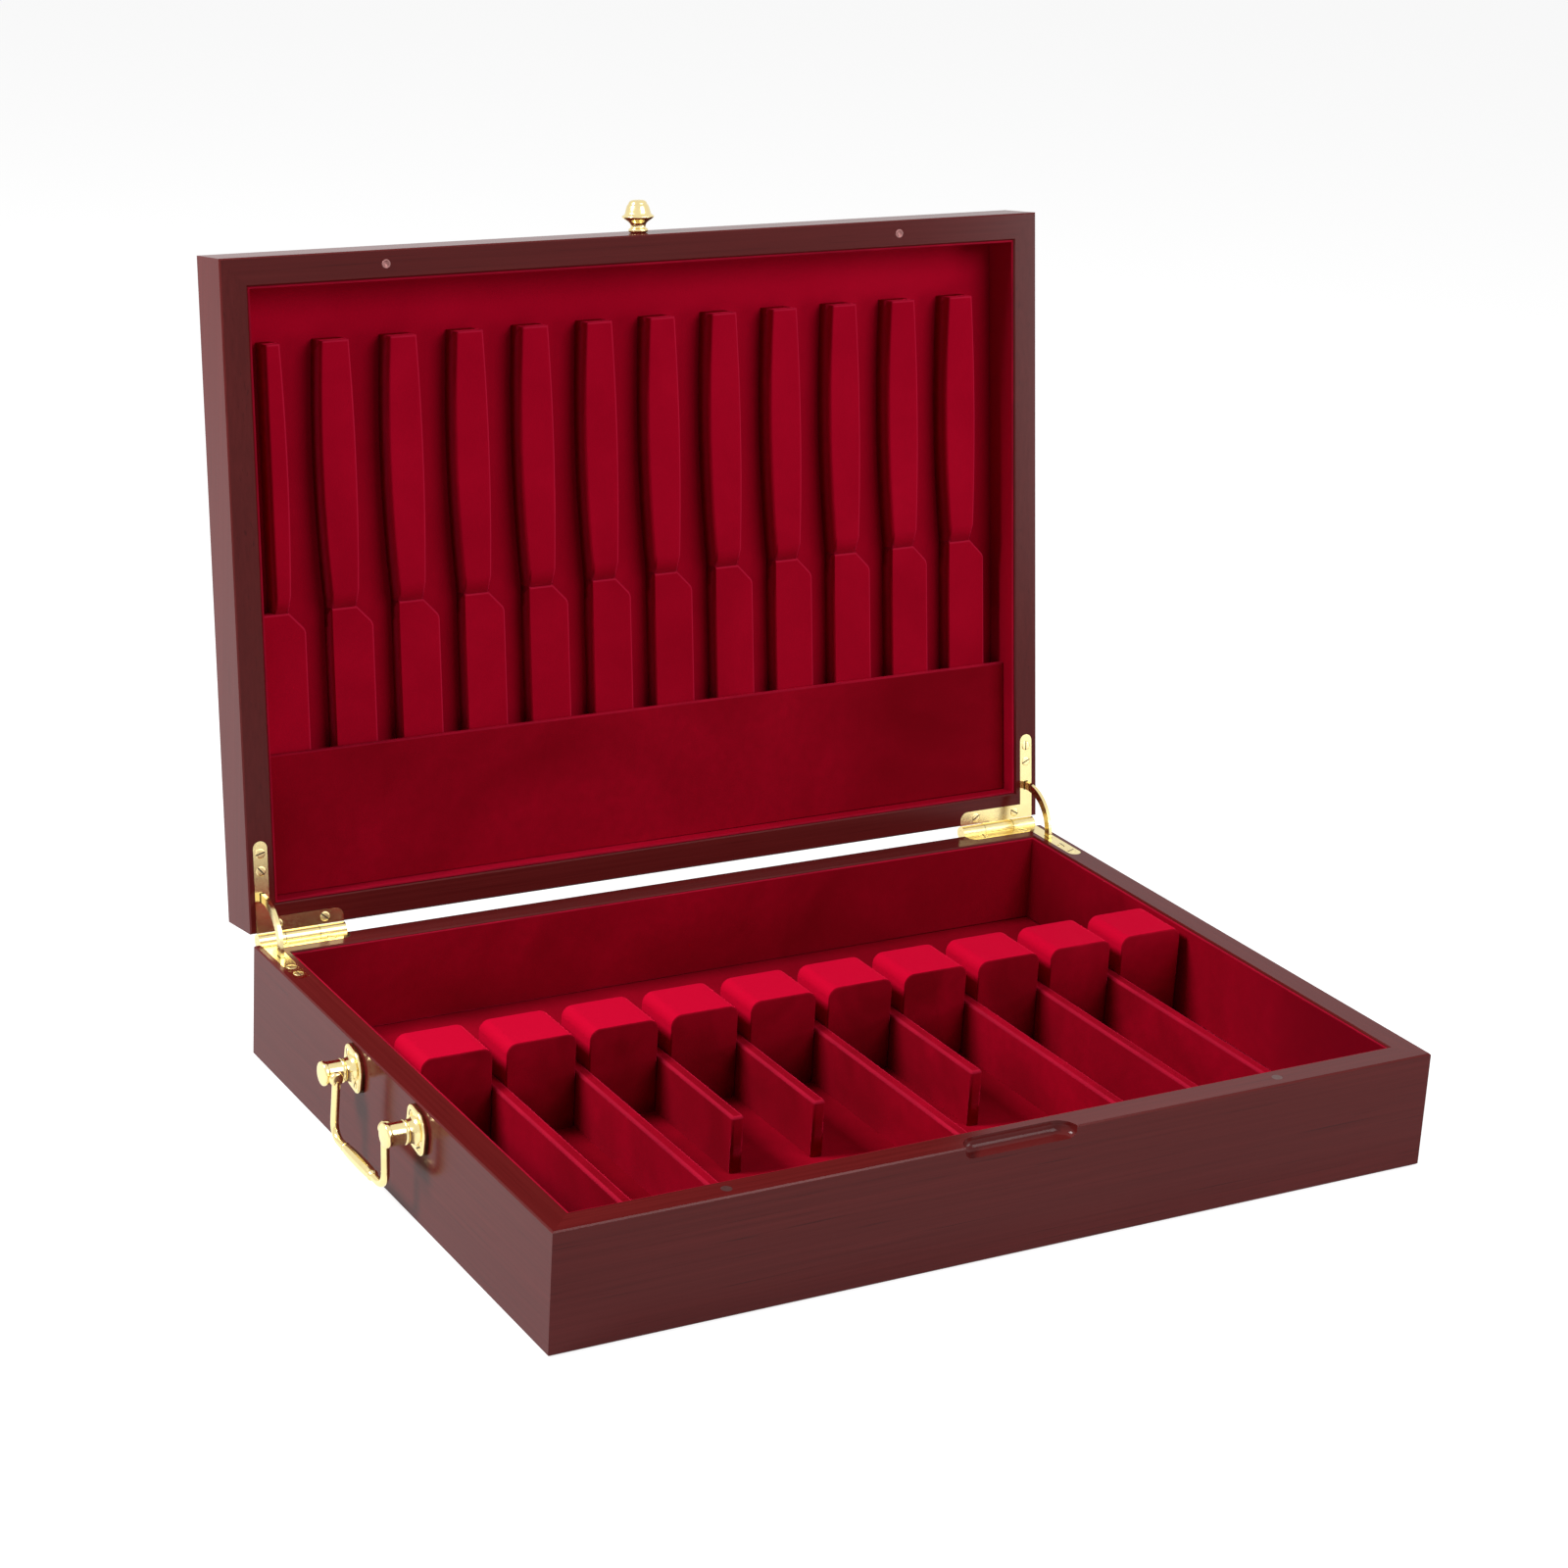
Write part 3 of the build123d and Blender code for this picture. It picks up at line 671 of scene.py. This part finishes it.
brass = polished_brass("polished_brass")
screw_brass = polished_brass("screw_brass", 0.3)
# Painted shade: a near-black strip laid on each flat screw head where its slot would be.
slot_shade, slot_shade_tree, slot_shade_shader, slot_shade_place = start_material("slot_tarnish")
slot_shade_speckle = put(slot_shade_tree, "ShaderNodeTexNoise", {"Vector": slot_shade_place, "Scale": 3000})
slot_shade_color = blend_colors(slot_shade_tree, slot_shade_speckle.outputs["Fac"], SLOT_SHADE_DARK, SLOT_SHADE_LIGHT)
slot_shade_tree.links.new(slot_shade_color, slot_shade_shader.inputs["Base Color"])
slot_shade_shader.inputs["Roughness"].default_value = 0.6
for node in ("base_hinge_leaves", "lid_hinge_leaves", "hinge_stay_left", "hinge_stay_right",
             "hinge_pin_left", "hinge_pin_right"):
    assign(node, brass)


def turned(profile, steps=20):
    """A round bmesh from (radius, height) points that start and end on the axis."""
    shape = bmesh.new()
    verts = [shape.verts.new((radius, 0, height)) for radius, height in profile]
    edges = [shape.edges.new(pair) for pair in zip(verts, verts[1:])]
    bmesh.ops.spin(
        shape, geom=verts + edges, cent=(0, 0, 0), axis=(0, 0, 1), dvec=(0, 0, 0),
        angle=2 * pi, steps=steps, use_merge=True,
    )
    bmesh.ops.remove_doubles(shape, verts=shape.verts, dist=same_place / 100)
    return shape


def screw_head(radius, crown, turn):
    """A crowned screw head with a slot across it painted as a dark strip of shade, sunk a little into the XY
    plane.
    """
    dome = [(0, -crown), (radius, -crown), (radius, crown * 0.3), (radius * 0.8, crown * 0.75),
            (radius * 0.45, crown * 0.95), (0, crown)]
    head = turned(dome, 24)
    across = Vector((sin(turn), cos(turn), 0))
    for edge_line in (-slot_width / 2, slot_width / 2):
        everything = list(head.verts) + list(head.edges) + list(head.faces)
        bmesh.ops.bisect_plane(head, geom=everything, plane_co=across * edge_line, plane_no=across)
    for face in head.faces:
        if abs(face.calc_center_median().dot(across)) < slot_width / 2:
            face.material_index = 1
    return head


def hinge_screws(turn):
    """Four screw heads in each of the two leaves on one rim, seen from above that rim."""
    heads = bmesh.new()
    for side in (-1, 1):
        spots = [(side * side_arm, y) for y in side_screws] + [(side * x, back_arm) for x in back_screws]
        for x, y in spots:
            pour(heads, screw_head(screw_radius, screw_crown, turn), Matrix.Translation((x, y, 0)))
            turn += slot_turn
    return heads


base_screws = hinge_screws(base_first_turn)
base_screws.transform(Matrix.Translation((0, 0, base_rim)))
finish_piece(base_screws, "base_hinge_screws", [screw_brass, slot_shade], "base", "brass")

lid_screws = hinge_screws(lid_first_turn)
lid_screws.transform(lid_frame @ Matrix.Scale(-1, 4, Vector((0, 0, 1))))
finish_piece(lid_screws, "lid_hinge_screws", [screw_brass, slot_shade], "lid", "brass")


# ---- knob on the lid ----
# One turned brass knob: a round collar, a neck that flares to a thin lip, and a domed crown
# with a flat button on top. Its stud is screwed into the lid's front rail.
lid_height = 0.026
knob_profile = [
    (0, -0.008), (0.00148, -0.008), (0.00148, 0), (0.0044, 0), (0.0044, 0.0014), (0.0042, 0.0019),
    (0.0035, 0.0021), (0.0034, 0.0025), (0.0034, 0.0034), (0.0037, 0.0042), (0.0046, 0.0050),
    (0.0060, 0.0058), (0.0070, 0.0065), (0.0073, 0.0070), (0.0071, 0.0075), (0.0063, 0.0079),
    (0.0058, 0.0084), (0.0056, 0.0094), (0.0052, 0.0108), (0.0048, 0.0119), (0.0045, 0.0123),
    (0.0042, 0.0125), (0.0041, 0.0130), (0.0036, 0.0138), (0.0024, 0.0143), (0, 0.0144),
]
knob_frame = frame_of(
    lid_origin - lid_y * (chest_depth / 2) + lid_z * (lid_height / 2), Vector((1, 0, 0)), lid_z, -lid_y
)


def smooth_turning(piece):
    """Divides a turned piece twice more, so that its outline runs smoothly."""
    rounder = piece.modifiers.new("smooth_turning", "SUBSURF")
    rounder.levels = 2
    rounder.render_levels = 2


knob_shape = turned(knob_profile)
knob_shape.transform(knob_frame)
smooth_turning(finish_piece(knob_shape, "turned_knob", [brass], "lid", "brass", "lid_knob"))


# ---- bail handle ----
# A cast and polished handle on the left wall: two posts with a ring and a thick cap, each on a
# lobed rosette with two small screws, and a bent wire with a turned grip that swings in them.
handle_shift = 0.002
handle_level = 0.041
handle_half = 0.0305
rosette_radius = 0.0082
rosette_lobe = 0.0034
rosette_reach = 0.0069
rosette_turn = radians(36)
rosette_thickness = 0.0024
rosette_round = 0.0008
rosette_screw = 0.0015
rosette_screw_crown = 0.0004
rosette_slot_turn = 0.7
rosette_first_turn = 1.9
bail_standoff = 0.0116
bail_arm = 0.0239
bail_splay = 0.0010
wire_radius = 0.0017
wire_top = -0.0008
bail_drop = 0.0253
bend_start = 0.0192
bend_end = 0.0186
bend_pull = 0.0034
eye_radius = 0.0030
eye_half = 0.0016
pin_radius = 0.0013
pin_end = 0.0317
post_profile = [
    (0, 0.001), (0.0060, 0.001), (0.0060, 0.0026), (0.0054, 0.0031), (0.0050, 0.0036), (0.0047, 0.0055),
    (0.0048, 0.0061), (0.0051, 0.0063), (0.0051, 0.0069), (0.0048, 0.0071), (0.0047, 0.0077),
    (0.0047, 0.0130), (0.0049, 0.0134), (0.0051, 0.0137), (0.0051, 0.0149), (0.0047, 0.0154),
    (0.0020, 0.0155), (0, 0.0155),
]
grip_profile = [
    (0, -0.0147), (0.0017, -0.0147), (0.0021, -0.0142), (0.0021, -0.0133), (0.0018, -0.0129),
    (0.0021, -0.0124), (0.0024, -0.0090), (0.0026, 0), (0.0025, 0.0090), (0.0022, 0.0112),
    (0.0020, 0.0118), (0.0024, 0.0122), (0.0024, 0.0134), (0.0019, 0.0139), (0.0017, 0.0147), (0, 0.0147),
]
eye_profile = [
    (0, -eye_half), (eye_radius * 0.75, -eye_half), (eye_radius, -eye_half * 0.5),
    (eye_radius, eye_half * 0.5), (eye_radius * 0.75, eye_half), (0, eye_half),
]
handle_frame = frame_of(
    Vector((-chest_width / 2, handle_shift, handle_level)),
    Vector((0, -1, 0)), Vector((0, 0, 1)), Vector((-1, 0, 0)),
)
along_grip = Matrix.Rotation(radians(90), 4, "Y")


def rosette():
    """A flat plate in the outline of a disc with a lobe above and a lobe below."""
    shape = bmesh.new()
    lobe_x, lobe_y = rosette_reach * sin(rosette_turn), rosette_reach * cos(rosette_turn)
    discs = ((0, 0, rosette_radius), (-lobe_x, lobe_y, rosette_lobe), (lobe_x, -lobe_y, rosette_lobe))
    for height in (0, rosette_thickness):
        for x, y, radius in discs:
            place = Matrix.Translation((x, y, height))
            bmesh.ops.create_circle(shape, segments=40, radius=radius, matrix=place)
    hull = bmesh.ops.convex_hull(shape, input=shape.verts, use_existing_faces=False)
    inside = {item for key in ("geom_interior", "geom_unused") for item in hull[key]}
    spare = [item for item in inside if isinstance(item, bmesh.types.BMVert)]
    bmesh.ops.delete(shape, geom=spare, context="VERTS")
    bmesh.ops.dissolve_limit(shape, angle_limit=radians(1), verts=shape.verts, edges=shape.edges)
    rim = [edge for edge in shape.edges if lowest(edge, "z") > rosette_thickness / 2]
    round_edges(shape, rim, rosette_round, 3)
    return shape


def rosette_screws(turn):
    """The small screws in the two lobes."""
    shape = bmesh.new()
    lobe = Vector((-sin(rosette_turn), cos(rosette_turn), 0)) * rosette_reach
    for spot in (lobe, -lobe):
        place = Matrix.Translation(spot + Vector((0, 0, rosette_thickness)))
        pour(shape, screw_head(rosette_screw, rosette_screw_crown, turn), place)
        turn += rosette_slot_turn
    return shape


plates = bmesh.new()
post_screws = bmesh.new()
posts = bmesh.new()
for end in (-1, 1):
    foot = Matrix.Translation((end * handle_half, 0, 0))
    pour(plates, rosette(), foot)
    pour(post_screws, rosette_screws(rosette_first_turn * end), foot)
    pour(posts, turned(post_profile), foot)
for shape in (plates, post_screws, posts):
    shape.transform(handle_frame)
smooth_turning(finish_piece(posts, "handle_post_turnings", [brass], "base", "brass", "handle_posts"))
even_normals(finish_piece(plates, "handle_rosettes", [brass], "base", "brass"))
finish_piece(post_screws, "handle_screws", [screw_brass, slot_shade], "base", "brass")

fittings = bmesh.new()
pour(fittings, turned(grip_profile), Matrix.Translation((0, -bail_drop, 0)) @ along_grip)
for end in (-1, 1):
    pour(fittings, turned(eye_profile), Matrix.Translation((end * bail_arm, 0, 0)) @ along_grip)
fittings.transform(handle_frame @ Matrix.Translation((0, 0, bail_standoff)))
smooth_turning(finish_piece(fittings, "bail_grip_and_eyes", [brass], "left_bail", "brass", "left_bail"))

pins = bmesh.new()
for end in (-1, 1):
    reach = pin_end - bail_arm
    pin = bmesh.new()
    bmesh.ops.create_cone(
        pin, cap_ends=True, segments=24, radius1=pin_radius, radius2=pin_radius, depth=reach
    )
    pour(pins, pin, Matrix.Translation((end * (bail_arm + reach / 2), 0, 0)) @ along_grip)
pins.transform(handle_frame @ Matrix.Translation((0, 0, bail_standoff)))
even_normals(finish_piece(pins, "bail_pins", [brass], "left_bail", "brass"))

wire_line = bpy.data.curves.new("bail_wire", "CURVE")
wire_line.dimensions = "3D"
wire_line.bevel_depth = wire_radius
wire_line.bevel_resolution = 6
wire_line.resolution_u = 16
wire_line.use_fill_caps = True
bend = wire_line.splines.new("BEZIER")
wire_points = [
    ((-bail_arm, wire_top), (0, -bend_pull)),
    ((-bail_arm - bail_splay, -bend_start), (0, -bend_pull)),
    ((-bend_end, -bail_drop), (bend_pull, 0)),
    ((bend_end, -bail_drop), (bend_pull, 0)),
    ((bail_arm + bail_splay, -bend_start), (0, bend_pull)),
    ((bail_arm, wire_top), (0, bend_pull)),
]
bend.bezier_points.add(len(wire_points) - 1)
for point, (spot, pull) in zip(bend.bezier_points, wire_points):
    place, pull = Vector((*spot, bail_standoff)), Vector((*pull, 0))
    point.co = handle_frame @ place
    point.handle_left_type = point.handle_right_type = "FREE"
    point.handle_left = handle_frame @ (place - pull)
    point.handle_right = handle_frame @ (place + pull)
wire_line.materials.append(brass)
wire = bpy.data.objects.new("bail_wire", wire_line)
bpy.context.scene.collection.objects.link(wire)
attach(wire, "left_bail")


# ---- magnets and catches ----
# Round magnets in dished cups in the lid's front rim, and the small darkened steel plates in the
# base's rim that they meet.
CUP_PALE = (0.330, 0.150, 0.145, 1)
CUP_DULL = (0.200, 0.080, 0.075, 1)
PLATE_PALE = (0.150, 0.070, 0.065, 1)
PLATE_DULL = (0.080, 0.030, 0.028, 1)
magnet_x = 0.126
magnet_inset = 0.006
magnet_profile = [
    (0, -0.004), (0.002, -0.004), (0.002, 0), (0.0019, 0.0002), (0.0014, 0.0002), (0.0011, -0.0001),
    (0, -0.0002),
]


def worn_steel(name, pale, dull):
    """Plain steel under a thin, uneven lacquer."""
    material, tree, shader, place = start_material(name)
    wear = put(tree, "ShaderNodeTexNoise", {"Vector": place, "Scale": 900, "Detail": 3})
    tree.links.new(blend_colors(tree, wear.outputs["Fac"], pale, dull), shader.inputs["Base Color"])
    shader.inputs["Metallic"].default_value = 0.7
    shader.inputs["Roughness"].default_value = 0.4
    return material


assign("base_catches", worn_steel("catch_steel", PLATE_PALE, PLATE_DULL))
cups = bmesh.new()
for side in (-1, 1):
    spot = Matrix.Translation((side * magnet_x, magnet_inset - chest_depth / 2, 0))
    pour(cups, turned(magnet_profile, 32), spot @ Matrix.Rotation(pi, 4, "X"))
cups.transform(lid_frame)
cup_steel = worn_steel("cup_steel", CUP_PALE, CUP_DULL)
even_normals(finish_piece(cups, "magnet_cups", [cup_steel], "lid", "steel", "lid_magnets"))


# ---- floor, light and camera ----
# A pale floor, a strong light above the left side, a large soft one in front on the right with a
# faint low one beside it, and a camera above the left front corner with a long lens.
floor_half = 6
floor_drop = 0.0001
AMBIENT = 0.14
FLOOR_GREY = (0.4, 0.4, 0.4, 1)
FLOOR_GLOW = 0.87
WHITE = (1, 1, 1, 1)

floor_shape = bmesh.new()
bmesh.ops.create_grid(floor_shape, x_segments=1, y_segments=1, size=floor_half)
bmesh.ops.translate(floor_shape, vec=(0, 0, -floor_drop), verts=floor_shape.verts)
floor_mesh = bpy.data.meshes.new("floor")
floor_shape.to_mesh(floor_mesh)
floor_shape.free()
floor = bpy.data.objects.new("floor", floor_mesh)
bpy.context.scene.collection.objects.link(floor)


def seen_directly(tree):
    """1 for rays that show a background: straight from the camera, in a gloss or through glass."""
    path = put(tree, "ShaderNodeLightPath")
    shown = put(tree, "ShaderNodeMath", {0: path.outputs["Is Camera Ray"], 1: path.outputs["Is Glossy Ray"]},
                operation="MAXIMUM")
    return put(tree, "ShaderNodeMath", {0: shown.outputs[0], 1: path.outputs["Is Transmission Ray"]},
               operation="MAXIMUM").outputs[0]


floor_material = bpy.data.materials.new("pale_floor")
floor_material.use_nodes = True
floor_tree = floor_material.node_tree
floor_shader = floor_tree.nodes["Principled BSDF"]
floor_shader.inputs["Base Color"].default_value = FLOOR_GREY
floor_shader.inputs["Roughness"].default_value = 1
floor_shader.inputs["Specular IOR Level"].default_value = 0
floor_glow = put(floor_tree, "ShaderNodeEmission", {"Color": WHITE, "Strength": FLOOR_GLOW})
floor_sum = put(floor_tree, "ShaderNodeAddShader",
                {0: floor_shader.outputs["BSDF"], 1: floor_glow.outputs["Emission"]})
floor_mix = put(floor_tree, "ShaderNodeMixShader", {
    0: seen_directly(floor_tree), 1: floor_shader.outputs["BSDF"], 2: floor_sum.outputs["Shader"],
})
floor_tree.links.new(floor_mix.outputs["Shader"], floor_tree.nodes["Material Output"].inputs["Surface"])
floor_mesh.materials.append(floor_material)

world = bpy.data.worlds.new("studio")
world.use_nodes = True
bpy.context.scene.world = world
sky = world.node_tree
background = sky.nodes["Background"]
background.inputs["Color"].default_value = WHITE
sky.links.new(spread(sky, seen_directly(sky), 0, 1, AMBIENT, 1), background.inputs["Strength"])


def soft_light(name, place, aim, size, power):
    """A square soft box that faces a point on the chest."""
    data = bpy.data.lights.new(name, "AREA")
    data.size = size
    data.energy = power
    lamp = bpy.data.objects.new(name, data)
    lamp.location = place
    lamp.rotation_euler = (Vector(aim) - Vector(place)).to_track_quat("-Z", "Y").to_euler()
    bpy.context.scene.collection.objects.link(lamp)


soft_light("left_light", (-1.19, 0.34, 1.2), (0, 0, 0.05), 0.45, 28)
soft_light("front_light", (0.72, -1.5, 1.38), (0, 0, 0.1), 1.1, 20)
soft_light("right_light", (1.25, -0.95, 0.3), (0.1, 0, 0.1), 0.5, 4.5)

camera_data = bpy.data.cameras.new("camera")
camera = bpy.data.objects.new("camera", camera_data)
bpy.context.scene.collection.objects.link(camera)
camera_data.lens = 79.79
camera_data.sensor_width = 36
camera_data.clip_end = 20
camera_data.shift_x = 0.0717
camera_data.shift_y = -0.0515
camera_spot = Vector((-0.70975, -1.12973, 0.6217))
azimuth, drop, roll = radians(29.03), radians(18.46), radians(2.694)
ahead = Vector((sin(azimuth) * cos(drop), cos(azimuth) * cos(drop), -sin(drop)))
right = Vector((cos(azimuth), -sin(azimuth), 0))
up = right.cross(ahead)
tilted_right = right * cos(roll) + up * sin(roll)
tilted_up = up * cos(roll) - right * sin(roll)
camera.matrix_world = frame_of(camera_spot, tilted_right, tilted_up, -ahead)
bpy.context.scene.camera = camera

bpy.context.scene.view_settings.view_transform = "Standard"
